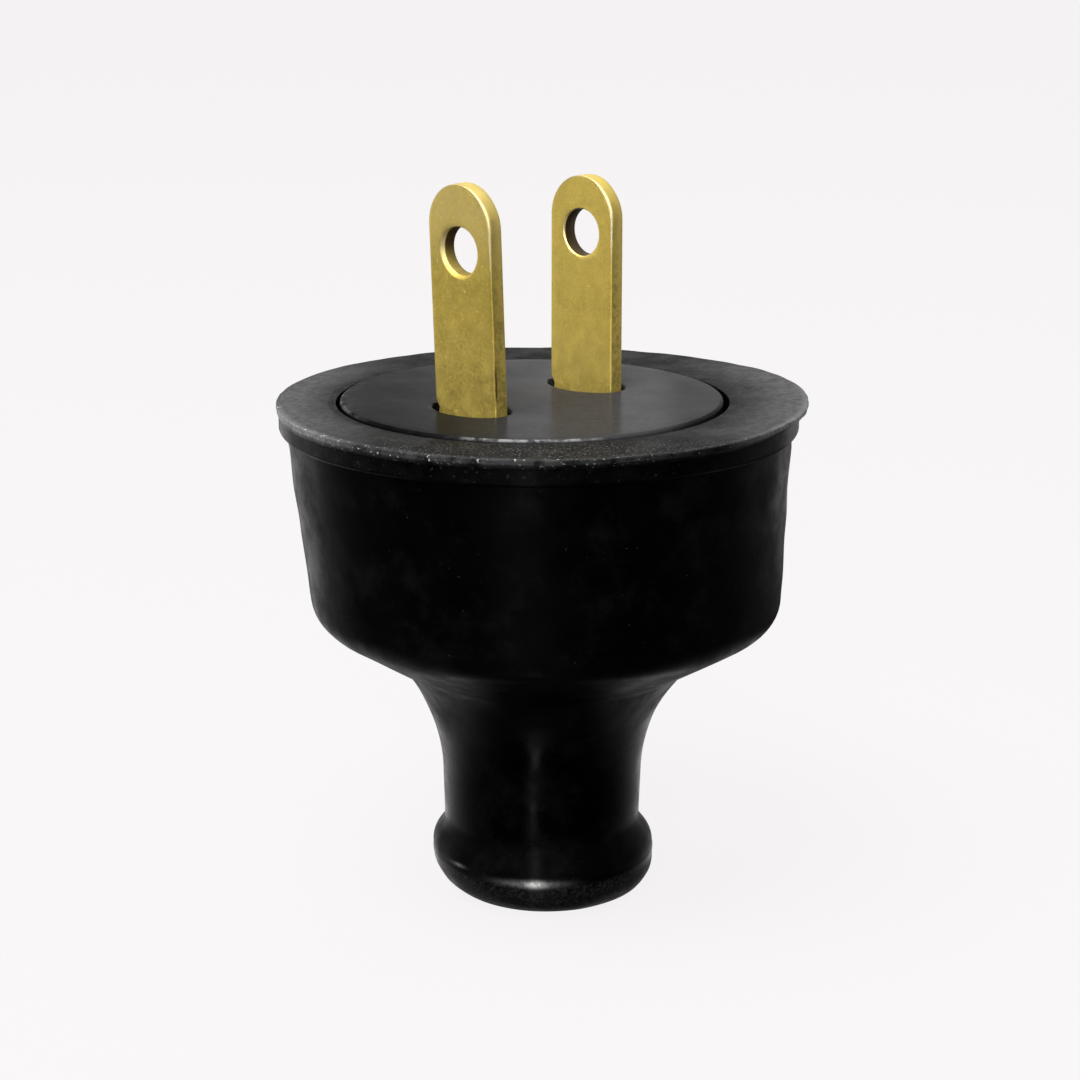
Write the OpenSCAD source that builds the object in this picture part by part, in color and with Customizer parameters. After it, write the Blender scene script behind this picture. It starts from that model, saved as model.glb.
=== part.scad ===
// Two-blade power plug with a moulded rubber body, in millimetres.
// The origin is the centre of the neck's end. +Z points out along the blades, and X runs across them.

/* [Body] */
// Height of the rubber body, from the neck's end to the flange's face
body_h = 40.6; // [36:0.1:60]
// Diameter of the thin lip round the flange's face
lip_d = 41.6; // [40:0.1:48]
// Thickness of that lip
lip_t = 0.4; // [0.2:0.1:0.8]
// Diameter of the flange below its lip
flange_d = 40.7; // [40:0.1:46]
// Thickness of the flange
flange_t = 2.2; // [1.8:0.1:5]
// Rounding of the flange's lower edge
flange_round = 0.5; // [0.1:0.05:0.5]
// Diameter of the grip where it meets the flange
grip_top_d = 39.6; // [37:0.1:42]
// Diameter of the grip at its lower corner
grip_low_d = 37.2; // [35:0.1:42]
// Rounding of the grip's lower corner
grip_round = 2.7; // [0.5:0.1:5]
// Height of the sloping shoulder between the neck's flare and the grip's lower corner
shoulder_rise = 4.25; // [2:0.05:8]

/* [Neck] */
// Diameter of the neck where its flare begins
neck_d = 16; // [13:0.1:20]
// Diameter of the neck above its bead
neck_low_d = 15.8; // [13:0.1:20]
// Length of the neck between the bead's hollow and the flare
neck_l = 3.9; // [1:0.1:12]
// Radius of the flare, seen from the side
flare_r = 14.6; // [10:0.1:24]
// Diameter of the flare where it meets the shoulder
flare_top_d = 23.2; // [20:0.1:27]
// Diameter of the bead round the neck's end
bead_d = 17.9; // [16.5:0.1:24]
// Height of the bead
bead_h = 4.4; // [3.8:0.1:8]
// Height of the slope from the bead to the neck
bead_slope = 1.3; // [1.1:0.1:5]
// Rounding of the bead's upper edge
bead_round = 1.8; // [0.5:0.1:2]
// Rounding of the hollow above the bead
hollow_round = 1.6; // [0.5:0.1:1.8]
// Rounding of the bead's lower edge
end_round = 3; // [0.5:0.1:3]
// Diameter of the cord's inlet
cord_d = 8; // [5:0.1:9]
// Width of the bevel at the inlet's mouth
cord_bevel = 0.6; // [0.2:0.1:1]

/* [Pocket] */
// How far the pocket lies off the body's axis, across the blades
pocket_off_x = -0.75; // [-1.2:0.05:1.2]
// How far the pocket lies off the body's axis, along the blades' width
pocket_off_y = 0.3; // [-1.2:0.05:1.2]
// Gap round the insert at the face
face_gap = 0.4; // [0.1:0.05:0.8]
// Gap round the insert's retaining ring
ring_gap = 0.15; // [0.05:0.05:0.4]
// Bevel of the pocket's edge at the face
pocket_bevel = 0.2; // [0.05:0.05:0.6]
// Diameter of the wiring chamber behind the insert
chamber_d = 28.6; // [25.8:0.1:31.4]
// Thickness of the rubber under the chamber's sloping floor
floor_wall = 3.5; // [2:0.1:6]
// Diameter of the flat ring in the chamber's floor
floor_d = 10.6; // [9.8:0.1:16]

/* [Insert] */
// Diameter of the insert at the face
insert_d = 30; // [29:0.1:32]
// Thickness of the insert
insert_t = 5.2; // [4.6:0.1:9]
// How far the insert stands above the flange's face
insert_proud = 0.2; // [0:0.05:0.6]
// Rounding of the insert's edge at the face
insert_round = 0.4; // [0.1:0.05:0.8]
// How far the retaining ring stands out from the insert
ring_out = 1; // [0.5:0.1:1.6]
// Height of the retaining ring
ring_h = 1.8; // [1:0.1:2.4]
// Gap on each flat side of a blade in its slot
slot_gap = 0.15; // [0.1:0.05:0.3]
// Gap at each edge of a blade in its slot
slot_end_gap = 0.3; // [0.1:0.05:0.4]
// Length of the oval mouth round each blade
mouth_l = 7.1; // [5:0.1:7.1]
// Width of that mouth
mouth_w = 4.8; // [3:0.1:5.6]
// Depth of that mouth
mouth_depth = 0.9; // [0.4:0.1:1.4]
// How far the pair of blades lies off the insert's middle, across the blades
pair_off_x = -0.15; // [-0.3:0.05:0.3]
// How far the pair of blades lies off the insert's middle, along their width
pair_off_y = 0.15; // [-0.3:0.05:0.3]
// Thickness of the barrier between the two terminals
barrier_t = 2; // [1.2:0.1:4]
// Height of the barrier behind the insert
barrier_h = 6.5; // [4:0.1:9]
// Length of the barrier
barrier_l = 24; // [16:0.1:26]

/* [Blades] */
// Distance between the blades' middles
blade_pitch = 12.7; // [12:0.1:13]
// Width of a blade
blade_w = 6.6; // [5.5:0.05:6.7]
// Thickness of a blade
blade_t = 1.3; // [1:0.05:1.6]
// Length of the front blade above the insert
front_blade_l = 17.35; // [15:0.05:24]
// Length of the rear blade above the insert
rear_blade_l = 16.75; // [15:0.05:24]
// Bevel along a blade's edges
blade_bevel = 0.1; // [0.05:0.05:0.4]
// Diameter of the hole near a blade's tip
hole_d = 3.7; // [2.5:0.1:4.4]
// Height of that hole's middle above the insert
hole_h = 12.3; // [8:0.1:13]
// Bevel of the hole's rim
hole_bevel = 0.1; // [0.05:0.05:0.5]
// Inner radius of the bend between a blade and its foot
bend_r = 0.6; // [0.3:0.05:1]
// How far the front blade is bent outwards, in degrees
front_lean = 2.4; // [0:0.1:4]

/* [Terminals] */
// Gap between a blade's foot and the chamber's wall
foot_gap = 0.6; // [0.4:0.05:1]
// Distance from the foot's end to its terminal screw
foot_end = 2.8; // [2.8:0.1:3.4]
// Bevel of the foot's two outer corners
foot_bevel = 2; // [1:0.1:2.4]
// Diameter of the screw's shank
screw_d = 3; // [2.4:0.1:3.4]
// Length of the screw under its head
screw_l = 4.6; // [3.5:0.1:4.9]
// Diameter of the screw's head
head_d = 5.6; // [4.6:0.1:6]
// Height of the screw's head
head_h = 1.9; // [1.4:0.1:3]
// Height of the crown on that head
head_crown = 0.7; // [0.2:0.1:1]
// Width of the screwdriver's slot
drive_w = 0.8; // [0.5:0.1:1.2]
// Depth of the screwdriver's slot
drive_depth = 1; // [0.5:0.1:1.2]
// Diameter of the threaded bushing in the insert
bushing_d = 4.2; // [4:0.1:5]
// Length of the threaded bushing
bushing_l = 3.6; // [3.2:0.1:4]
// Depth and width of the groove that locks the bushing
bushing_groove = 0.4; // [0.2:0.05:0.4]
// Radial gap between the screw and what it passes through
thread_gap = 0.05; // [0.02:0.01:0.1]
// Gap between the bushing and the moulding round it
mould_gap = 0.02; // [0.01:0.01:0.05]

/* [Hidden] */

$fn = 96;
// Degrees of turn between two points of an arc
arc_step = 5;
// How far a cut runs past the face it opens
cut = 1;

// Heights up the body's outline, from the neck's end
neck_low_z = bead_h + bead_slope;
flare_z = neck_low_z + neck_l;
flare_turn = acos((neck_d / 2 + flare_r - flare_top_d / 2) / flare_r);
shoulder_z = flare_z + flare_r * sin(flare_turn);
grip_low_z = shoulder_z + shoulder_rise;
flange_z = body_h - flange_t;
lip_out = (lip_d - flange_d) / 2;

// The insert sits on the pocket's seat, and its face is a little above the flange's
seat_z = body_h + insert_proud - insert_t;

// The chamber's floor follows the shoulder, one wall away from it
shoulder_slope = shoulder_rise / (grip_low_d / 2 - flare_top_d / 2);
floor_rise = floor_wall * sqrt(1 + pow(shoulder_slope, 2));
floor_z = floor_height(floor_d / 2);

// Places along a terminal, from the plug's middle
blade_x = blade_pitch / 2;
bend_x = blade_x + blade_t / 2 + bend_r;
foot_x = chamber_d / 2 - foot_gap;
screw_x = foot_x - foot_end;

function floor_height(r) = shoulder_z + (r - flare_top_d / 2) * shoulder_slope + floor_rise;

function unit(v) = v / norm(v);

function angle_of(v) = atan2(v[1], v[0]);

// The shorter way from one direction to another, in degrees
function turn_between(from, to) = let (d = to - from) d > 180 ? d - 360 : d < -180 ? d + 360 : d;

// The points of an arc, from one direction through a turn
function arc(centre, r, from, turn) =
    let (steps = max(1, ceil(abs(turn) / arc_step)))
    [for (i = [0:steps]) centre + r * [cos(from + turn * i / steps), sin(from + turn * i / steps)]];

// Corner b between its neighbours a and c, rounded with radius r
function rounded_corner(a, b, c, r) =
    let (
        u = unit(a - b),
        v = unit(c - b),
        half = acos(u * v) / 2,
        centre = b + unit(u + v) * r / sin(half),
        from = angle_of(b + u * r / tan(half) - centre),
        to = angle_of(b + v * r / tan(half) - centre)
    )
    arc(centre, r, from, turn_between(from, to));

// An outline from [x, y, rounding] corners
function rounded(corners) =
    let (n = len(corners), p = [for (k = corners) [k[0], k[1]]])
    [for (i = [0:n - 1]) each
        corners[i][2] > 0
            ? rounded_corner(p[(i + n - 1) % n], p[i], p[(i + 1) % n], corners[i][2])
            : [p[i]]];

// The body's outline on one side of its axis, from the neck's end up to the face
function body_outline() = concat(
    rounded([
        [0, flare_z, 0],
        [0, 0, 0],
        [bead_d / 2, 0, end_round],
        [bead_d / 2, bead_h, bead_round],
        [neck_low_d / 2, neck_low_z, hollow_round],
        [neck_d / 2, flare_z, 0]
    ]),
    arc([neck_d / 2 + flare_r, flare_z], flare_r, 180, -flare_turn),
    rounded([
        [flare_top_d / 2, shoulder_z, 0],
        [grip_low_d / 2, grip_low_z, grip_round],
        [grip_top_d / 2, flange_z, 0],
        [flange_d / 2, flange_z, min(flange_round, 0.9 * (flange_d - grip_top_d) / 2)],
        [flange_d / 2, body_h - lip_t - abs(lip_out), 0],
        [lip_d / 2, body_h - lip_t, 0],
        [lip_d / 2, body_h, 0],
        [0, body_h, 0]
    ])
);

// The insert's outline on one side of its axis, from its back at zero
function insert_outline() = rounded([
    [0, 0, 0],
    [insert_d / 2 + ring_out, 0, 0],
    [insert_d / 2 + ring_out, ring_h, 0],
    [insert_d / 2, ring_h + ring_out, 0],
    [insert_d / 2, insert_t, insert_round],
    [0, insert_t, 0]
]);

// The pocket's outline: the insert's with its gaps, and the wiring chamber behind it
function pocket_outline() = [
    [0, floor_z],
    [floor_d / 2, floor_z],
    [chamber_d / 2, floor_height(chamber_d / 2)],
    [chamber_d / 2, seat_z],
    [insert_d / 2 + ring_out + ring_gap, seat_z],
    [insert_d / 2 + ring_out + ring_gap, seat_z + ring_h + ring_gap],
    [insert_d / 2 + face_gap, seat_z + ring_h + ring_out + ring_gap],
    [insert_d / 2 + face_gap, body_h - pocket_bevel],
    [insert_d / 2 + face_gap + pocket_bevel, body_h],
    [insert_d / 2 + face_gap + pocket_bevel, body_h + cut],
    [0, body_h + cut]
];

// The oval mouth's outline
function mouth_outline() =
    [for (a = [0:2 * arc_step:359]) [mouth_w / 2 * cos(a), mouth_l / 2 * sin(a)]];

// The bushing's outline from its open end at zero, with its locking groove halfway, grown by a gap
function bushing_outline(inner, gap) =
    let (r = bushing_d / 2 + gap, middle = bushing_l / 2, g = bushing_groove)
    [
        [inner, 0],
        [r, 0],
        [r, middle - g - gap],
        [r - g, middle - gap],
        [r - g, middle + gap],
        [r, middle + g + gap],
        [r, bushing_l + gap],
        [inner, bushing_l + gap]
    ];

// Moves its children into the pocket, with zero height at the insert's back
module in_pocket() {
    translate([pocket_off_x, pocket_off_y, seat_z]) children();
}

// Moves its children to the pair of blades, with zero height at the insert's back
module at_pair() {
    in_pocket() translate([pair_off_x, pair_off_y, 0]) children();
}

// The front terminal is the rear one, mirrored across the plug's middle
module on_front_side() {
    mirror([1, 0, 0]) children();
}

module both_sides() {
    children();
    on_front_side() children();
}

// The inlet for the cord, from the neck's end into the chamber
module cord_inlet() {
    translate([0, 0, -cut]) cylinder(h = floor_z + 2 * cut, d = cord_d);
    translate([0, 0, -cut]) cylinder(h = cord_bevel + cut, d1 = cord_d + 2 * (cord_bevel + cut), d2 = cord_d);
}

// What a blade takes out of the insert: its slot, the oval mouth, and room for the bend at the back
module blade_slot() {
    slot_t = blade_t + 2 * slot_gap;
    slot_w = blade_w + 2 * slot_end_gap;
    translate([blade_x - slot_t / 2, -slot_w / 2, -cut]) cube([slot_t, slot_w, insert_t + 2 * cut]);
    translate([blade_x, slot_w / 2, 0])
        rotate([90, 0, 0])
            linear_extrude(slot_w)
                polygon([
                    [0, -cut],
                    [bend_x - blade_x + cut, -cut],
                    [bend_x - blade_x, 0],
                    [blade_t / 2, bend_r],
                    [0, bend_r]
                ]);
    translate([blade_x, 0, insert_t - mouth_depth])
        linear_extrude(mouth_depth + cut)
            polygon(mouth_outline());
}

// The hole that the bushing is moulded into, open at the insert's back
module bushing_seat() {
    translate([screw_x, 0, 0]) rotate_extrude() polygon(bushing_outline(0, mould_gap));
    translate([screw_x, 0, -cut]) cylinder(h = 2 * cut, d = bushing_d + 2 * mould_gap);
}

// The part of a blade that shows, with its round tip, bevelled edges and hole
module blade_prong(length) {
    b = blade_bevel;
    tip_z = insert_t + length - blade_w / 2;
    root_z = insert_t - bend_r;
    translate([0, 0, root_z])
        linear_extrude(tip_z - root_z)
            polygon([
                [-blade_t / 2 + b, -blade_w / 2],
                [blade_t / 2 - b, -blade_w / 2],
                [blade_t / 2, -blade_w / 2 + b],
                [blade_t / 2, blade_w / 2 - b],
                [blade_t / 2 - b, blade_w / 2],
                [-blade_t / 2 + b, blade_w / 2],
                [-blade_t / 2, blade_w / 2 - b],
                [-blade_t / 2, -blade_w / 2 + b]
            ]);
    translate([0, 0, tip_z])
        rotate([90, 0, 90])
            rotate_extrude(angle = 180)
                polygon([
                    [0, -blade_t / 2],
                    [blade_w / 2 - b, -blade_t / 2],
                    [blade_w / 2, -blade_t / 2 + b],
                    [blade_w / 2, blade_t / 2 - b],
                    [blade_w / 2 - b, blade_t / 2],
                    [0, blade_t / 2]
                ]);
}

// The hole near a blade's tip, with both rims bevelled
module blade_hole() {
    translate([0, 0, insert_t + hole_h])
        rotate([0, 90, 0]) {
            cylinder(h = blade_t + 2 * cut, d = hole_d, center = true);
            for (side = [0, 1])
                mirror([0, 0, side])
                    translate([0, 0, blade_t / 2 - hole_bevel])
                        cylinder(h = hole_bevel + cut, d1 = hole_d, d2 = hole_d + 2 * (hole_bevel + cut));
        }
}

// The hidden part of a blade: its leg through the insert, the bend and the foot with its screw hole
module blade_foot() {
    translate([0, blade_w / 2, 0])
        rotate([90, 0, 0])
            linear_extrude(blade_w)
                polygon(concat(
                    [[blade_x + blade_t / 2, insert_t], [blade_x - blade_t / 2, insert_t]],
                    arc([bend_x, bend_r], bend_r + blade_t, 180, 90),
                    arc([bend_x, bend_r], bend_r, 270, -90)
                ));
    difference() {
        translate([0, 0, -blade_t])
            linear_extrude(blade_t)
                polygon([
                    [bend_x, -blade_w / 2],
                    [foot_x - foot_bevel, -blade_w / 2],
                    [foot_x, -blade_w / 2 + foot_bevel],
                    [foot_x, blade_w / 2 - foot_bevel],
                    [foot_x - foot_bevel, blade_w / 2],
                    [bend_x, blade_w / 2]
                ]);
        translate([screw_x, 0, -blade_t - cut]) cylinder(h = blade_t + 2 * cut, d = screw_d + 2 * thread_gap);
    }
}

// A blade on the rear side, bent outwards at the insert's face
module blade(length, lean) {
    blade_foot();
    translate([blade_x, 0, insert_t])
        rotate([0, lean, 0])
            translate([0, 0, -insert_t])
                difference() {
                    blade_prong(length);
                    blade_hole();
                }
}

module bushing() {
    translate([screw_x, 0, 0]) rotate_extrude() polygon(bushing_outline(screw_d / 2 + thread_gap, 0));
}

// A binding-head screw, done up against the foot, with its slot in line with the blades' middles
module terminal_screw() {
    crown_r = (pow(head_d / 2, 2) + pow(head_crown, 2)) / (2 * head_crown);
    crown_turn = asin(head_d / 2 / crown_r);
    translate([screw_x, 0, -blade_t])
        difference() {
            rotate_extrude()
                polygon(concat(
                    [[0, screw_l], [screw_d / 2, screw_l], [screw_d / 2, 0], [head_d / 2, 0]],
                    arc([0, crown_r - head_h], crown_r, crown_turn - 90, -crown_turn)
                ));
            translate([-head_d / 2 - cut, -drive_w / 2, -head_h - cut]) cube([head_d + 2 * cut, drive_w, drive_depth + cut]);
        }
}

module rubber_body() {
    color([0.10, 0.10, 0.10])
        difference() {
            rotate_extrude() polygon(body_outline());
            translate([pocket_off_x, pocket_off_y, 0]) rotate_extrude() polygon(pocket_outline());
            cord_inlet();
        }
}

module insert_disc() {
    color([0.16, 0.16, 0.17])
        difference() {
            union() {
                in_pocket() rotate_extrude() polygon(insert_outline());
                at_pair() translate([-barrier_t / 2, -barrier_l / 2, -barrier_h]) cube([barrier_t, barrier_l, barrier_h + cut]);
            }
            at_pair()
                both_sides() {
                    blade_slot();
                    bushing_seat();
                }
        }
}

module front_blade() {
    color([0.66, 0.56, 0.25]) at_pair() on_front_side() blade(front_blade_l, front_lean);
}

module rear_blade() {
    color([0.66, 0.56, 0.25]) at_pair() blade(rear_blade_l, 0);
}

module front_bushing() {
    color([0.72, 0.60, 0.30]) at_pair() on_front_side() bushing();
}

module rear_bushing() {
    color([0.72, 0.60, 0.30]) at_pair() bushing();
}

module front_screw() {
    color([0.75, 0.66, 0.40]) at_pair() on_front_side() terminal_screw();
}

module rear_screw() {
    color([0.75, 0.66, 0.40]) at_pair() terminal_screw();
}

rubber_body();
insert_disc();
front_blade();
rear_blade();
front_bushing();
rear_bushing();
front_screw();
rear_screw();
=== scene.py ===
import math

import bmesh
import bpy
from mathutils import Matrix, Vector, noise


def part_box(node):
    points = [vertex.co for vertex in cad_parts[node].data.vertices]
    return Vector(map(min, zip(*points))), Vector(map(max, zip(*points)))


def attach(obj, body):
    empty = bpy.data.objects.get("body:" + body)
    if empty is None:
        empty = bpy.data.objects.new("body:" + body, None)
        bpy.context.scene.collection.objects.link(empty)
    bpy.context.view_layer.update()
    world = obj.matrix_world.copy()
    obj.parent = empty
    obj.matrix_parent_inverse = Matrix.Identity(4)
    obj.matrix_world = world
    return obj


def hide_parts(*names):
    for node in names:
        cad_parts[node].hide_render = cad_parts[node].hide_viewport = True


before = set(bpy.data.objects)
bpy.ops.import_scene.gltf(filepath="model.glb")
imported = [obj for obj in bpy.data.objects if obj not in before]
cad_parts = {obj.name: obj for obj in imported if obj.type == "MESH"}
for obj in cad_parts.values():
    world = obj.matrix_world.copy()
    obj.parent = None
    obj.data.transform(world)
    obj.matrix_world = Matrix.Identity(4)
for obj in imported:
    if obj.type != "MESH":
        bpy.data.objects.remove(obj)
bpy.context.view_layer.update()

MM = 0.001
UP = Vector((0, 0, 1))
# The photograph's directions over the floor: to the image's right, and away from the camera
RIGHT = Vector((0.702, -0.712, 0))
AWAY = Vector((0.712, 0.702, 0))
# Points nearer than this, in millimetres, are one point; and the decimals that tell two apart
SAME = 1e-4
DECIMALS = 4


# Small helpers

def smooth(low, high, value):
    """Zero at low, one at high, and an even rise between them."""
    t = min(1.0, max(0.0, (value - low) / (high - low)))
    return t * t * (3 - 2 * t)


def bell(middle, width, value):
    """One at the middle, with an even fall to both sides."""
    return math.exp(-((value - middle) / width) ** 2)


def along(stops, x):
    """A value read off (place, value) stops, with an even rise between each two."""
    for (x0, v0), (x1, v1) in zip(stops, stops[1:]):
        if x <= x1:
            return v0 + (v1 - v0) * smooth(x0, x1, x)
    return stops[-1][1]


def uneven(point, height, size, seed):
    """Unevenness at a point in millimetres: up to a height both ways, with lumps of the given size."""
    return height * noise.noise(Vector(point) / size + Vector((seed, 7.3 * seed, -3.1 * seed)))


def arc(centre, r, start, turn, step):
    """The points of an arc, in degrees."""
    steps = max(1, math.ceil(abs(turn) / step))
    angles = [math.radians(start + turn * i / steps) for i in range(steps + 1)]
    return [Vector((centre[0] + r * math.cos(a), centre[1] + r * math.sin(a))) for a in angles]


def rounded(corners, step=7.0):
    """An open outline through [x, y, rounding] corners."""
    p = [Vector(c[:2]) for c in corners]
    out = [p[0]]
    for i in range(1, len(p) - 1):
        r = corners[i][2]
        if r <= 0:
            out.append(p[i])
            continue
        u = (p[i - 1] - p[i]).normalized()
        v = (p[i + 1] - p[i]).normalized()
        half = u.angle(v) / 2
        centre = p[i] + (u + v).normalized() * r / math.sin(half)
        start = p[i] + u * r / math.tan(half) - centre
        end = p[i] + v * r / math.tan(half) - centre
        a = math.degrees(math.atan2(start.y, start.x))
        turn = (math.degrees(math.atan2(end.y, end.x)) - a + 180) % 360 - 180
        out += arc(centre, r, a, turn, step)
    return out + [p[-1]]


def dense(points, step):
    """The same line with no stretch longer than step."""
    out = [points[0]]
    for a, b in zip(points, points[1:]):
        n = max(1, math.ceil((b - a).length / step))
        out += [a.lerp(b, (k + 1) / n) for k in range(n)]
    return [p for i, p in enumerate(out) if i == 0 or (p - out[i - 1]).length > SAME]


def in_scene(name, data):
    """A new object in the scene."""
    made = bpy.data.objects.new(name, data)
    bpy.context.scene.collection.objects.link(made)
    return made


def smooth_shaded(mesh, sharp):
    """Shades a mesh smooth, but for edges sharper than an angle in degrees."""
    mesh.polygons.foreach_set("use_smooth", [True] * len(mesh.polygons))
    mesh.set_sharp_from_angle(angle=math.radians(sharp))


def add_mesh(name, verts, faces, sharp=32.0, **values):
    """A smooth piece from points in millimetres, with named values per point for its material."""
    mesh = bpy.data.meshes.new(name)
    mesh.from_pydata([Vector(v) * MM for v in verts], [], faces)
    mesh.validate()
    bm = bmesh.new()
    bm.from_mesh(mesh)
    bmesh.ops.recalc_face_normals(bm, faces=bm.faces)
    bm.to_mesh(mesh)
    bm.free()
    for key, data in values.items():
        attribute = mesh.attributes.new(key, "FLOAT", "POINT")
        attribute.data.foreach_set("value", data)
    smooth_shaded(mesh, sharp)
    return in_scene(name, mesh)


# Sizes shared with the CAD solids, in millimetres

body_low, body_high = (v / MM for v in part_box("rubber_body"))
insert_low, insert_high = (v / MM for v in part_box("insert_disc"))
POCKET = Vector(((insert_low.x + insert_high.x) / 2, (insert_low.y + insert_high.y) / 2, 0))
# The pair of blades lies a little off the insert's middle
PAIR = POCKET + Vector((-0.15, 0.15, 0))
BODY_H = body_high.z
FACE_Z = insert_high.z
LIP_R = (body_high.x - body_low.x) / 2
LIP_T = 0.4
FLANGE_R = 20.35
FLANGE_T = 2.2
GRIP_TOP_R = 19.8
GRIP_LOW_R = 18.6
GRIP_ROUND = 2.7
# The shoulder's slope, which the chamber's floor follows
SHOULDER_RISE = 4.25
SHOULDER_RUN = 7.0
FLARE_Z = 9.6
FLARE_R = 14.6
FLARE_TURN = 41.11
NECK_R = 8.0
NECK_LOW_R = 7.9
BEAD_R = 8.95
BEAD_H = 4.4
BEAD_SLOPE = 1.3
CORD_R = 4.0
CORD_BEVEL = 0.6
INSERT_R = 15.0
INSERT_T = 5.2
RING_OUT = 1.0
RING_H = 1.8
GAP = 0.36
RING_GAP = 0.15
CHAMBER_R = 14.3
FLOOR_R = 5.3
FLOOR_Z = 19.47

BLADE_X = 6.35
BLADE_W = 6.6
BLADE_T = 1.3
FRONT_L = 17.35
REAR_L = 16.75
HOLE_R = 1.85
HOLE_H = 12.3
BEND_R = 0.6
LEAN = 2.4
FOOT_X = 13.7
FOOT_END = 2.8
FOOT_BEVEL = 2.0
SCREW_R = 1.55
MOUTH_L = 7.1
MOUTH_W = 4.8
MOUTH_DEPTH = 0.9
SLOT_GAP = 0.15
SLOT_END_GAP = 0.3
BARRIER = (2.0, 24.0, 6.5)
BUSHING_R = 2.12
BUSHING_L = 3.62
BUSHING_GROOVE = 0.4


# Rubber body: one closed skin, turned round the axis, with the moulding's unevenness

SEGMENTS = 256
SKIN_SHARP = 40.0
FLARE_STEP = 3.0
# Longest stretch between two rings of points: up to a little above the bead, further up, and inside
BEAD_STEP = 0.13
BEAD_MARGIN = 0.6
SKIN_STEP = 0.55
INSIDE_STEP = 1.6
# Roundings of the outline's corners, from the bead to the lip and into the pocket
BEAD_ROUND = 3.0
BEAD_TOP_ROUND = 1.8
NECK_ROUND = 1.6
GRIP_TOP_ROUND = 0.12
FLANGE_ROUND = 0.4
LIP_FOOT_ROUND = 0.15
LIP_LOW_ROUND = 0.12
LIP_TOP_ROUND = 0.14
POCKET_ROUND = 0.1
# How far from the pocket's wall the outer skin ends on the face, and the pocket's begins
FACE_EDGE = 1.4
POCKET_EDGE = 0.6
# Within this of the neck's end or the face the outer skin is level, and the pocket's edge within a little more
LEVEL = 0.02
POCKET_LEVEL = 0.06
# How far the soft body strays to the image's right, by height
DRIFT = (
    (0, 0.3), (0.6, 0.38), (1.4, 0.28), (3, 0.1), (5.5, 0), (15, 0), (19.5, 0.25), (22.5, 0.42), (26, 0.26),
    (31, 0.06), (34.5, -0.14), (37, -0.12), (38.2, -0.25), (39.9, -0.25), (40.25, 0),
)
# How far the lip is pushed up at the image's right, and where that begins and is full
LIFT = 0.26
LIFT_ACROSS = (13, 20.5)
LIFT_Z = (38.6, 39.9)
# The mould's parting line, where the bead turns under
RIDGE = 0.04
RIDGE_Z = 3.3
RIDGE_WIDE = 0.22
# Unevenness as (height, size of the lumps, seed); the lip's is read off a circle
SWELL = (0.05, 9.0, 1.0)
RIPPLE = (0.022, 3.0, 2.0)
FACE_SWELL = (0.03, 6.0, 3.0)
LIP_WANDER = (0.07, 5.0, 4.0)
LIP_NICKS = (0.05, 1.1, 5.0)
LIP_WAVE = (0.04, 2.0, 6.0)
LIP_CIRCLE = 20
LIP_BAND = (LIP_R - 0.5, LIP_R - 0.1)

# Marks of the skin for its material. A pair says where a mark begins and where it is full: by height or radius,
# or by the share of the way to the image's right (across) or towards the camera (ahead)
SKIN_MARKS = ("wear", "top", "dusty", "below", "polish", "highlight_and_rubbing")
WEAR_LEAST = 0.16
WEAR_SIDE = 0.7
WEAR_TURN = (0.0, 0.9)
DUST = 0.8
DUST_ACROSS = (0.55, 1.0)
DUST_R = (15.0, 20.0)
# Below the ridge the bead is painted grey as a reflection of the floor
BELOW_Z = (RIDGE_Z, RIDGE_Z - 0.5)
POLISH_TOP_Z = (17.0, 13.0)
POLISH_LOW_Z = (2.4, 2.9)
# The bead is duller than the neck, most of all in front
BEAD_TOP_Z = (6.6, 5.9)
BEAD_LOW_Z = (3.4, 3.9)
BEAD_DULL = 0.95
BEAD_FRONT_DULL = 1.8
BEAD_FRONT = (0.5, 0.85)
# A painted highlight on the ridge, as sums of (share, place across, width)
RIDGE_HIGHLIGHT = ((0.7, -0.07, 0.08), (0.26, -0.1, 0.24), (0.7, -0.07, 0.04))
RIDGE_HIGHLIGHT_MOST = 1.2
RIDGE_HIGHLIGHT_TALL = 0.25
# A small painted glint at the left, above the ridge, and a faint painted streak up the bead: share, place
# across, width
LEFT_GLINT = (0.2, -0.76, 0.05)
LEFT_GLINT_Z = (RIDGE_Z + 0.45, 0.12)
BEAD_STREAK = (0.012, -0.07, 0.05)
BEAD_STREAK_LOW_Z = (3.2, 3.6)
BEAD_STREAK_TOP_Z = (6.6, 5.6)
# The lip is rubbed pale at its left and right ends, with a painted highlight there: share, across, ahead
LEFT_END = (0.9, (0.55, 0.95), (0.0, 0.3))
RIGHT_END = (0.8, (0.6, 0.92), (-0.35, 0.05))
LIP_PALE_TOP = 0.12
LIP_PALE_SIDE = 0.27


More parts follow.
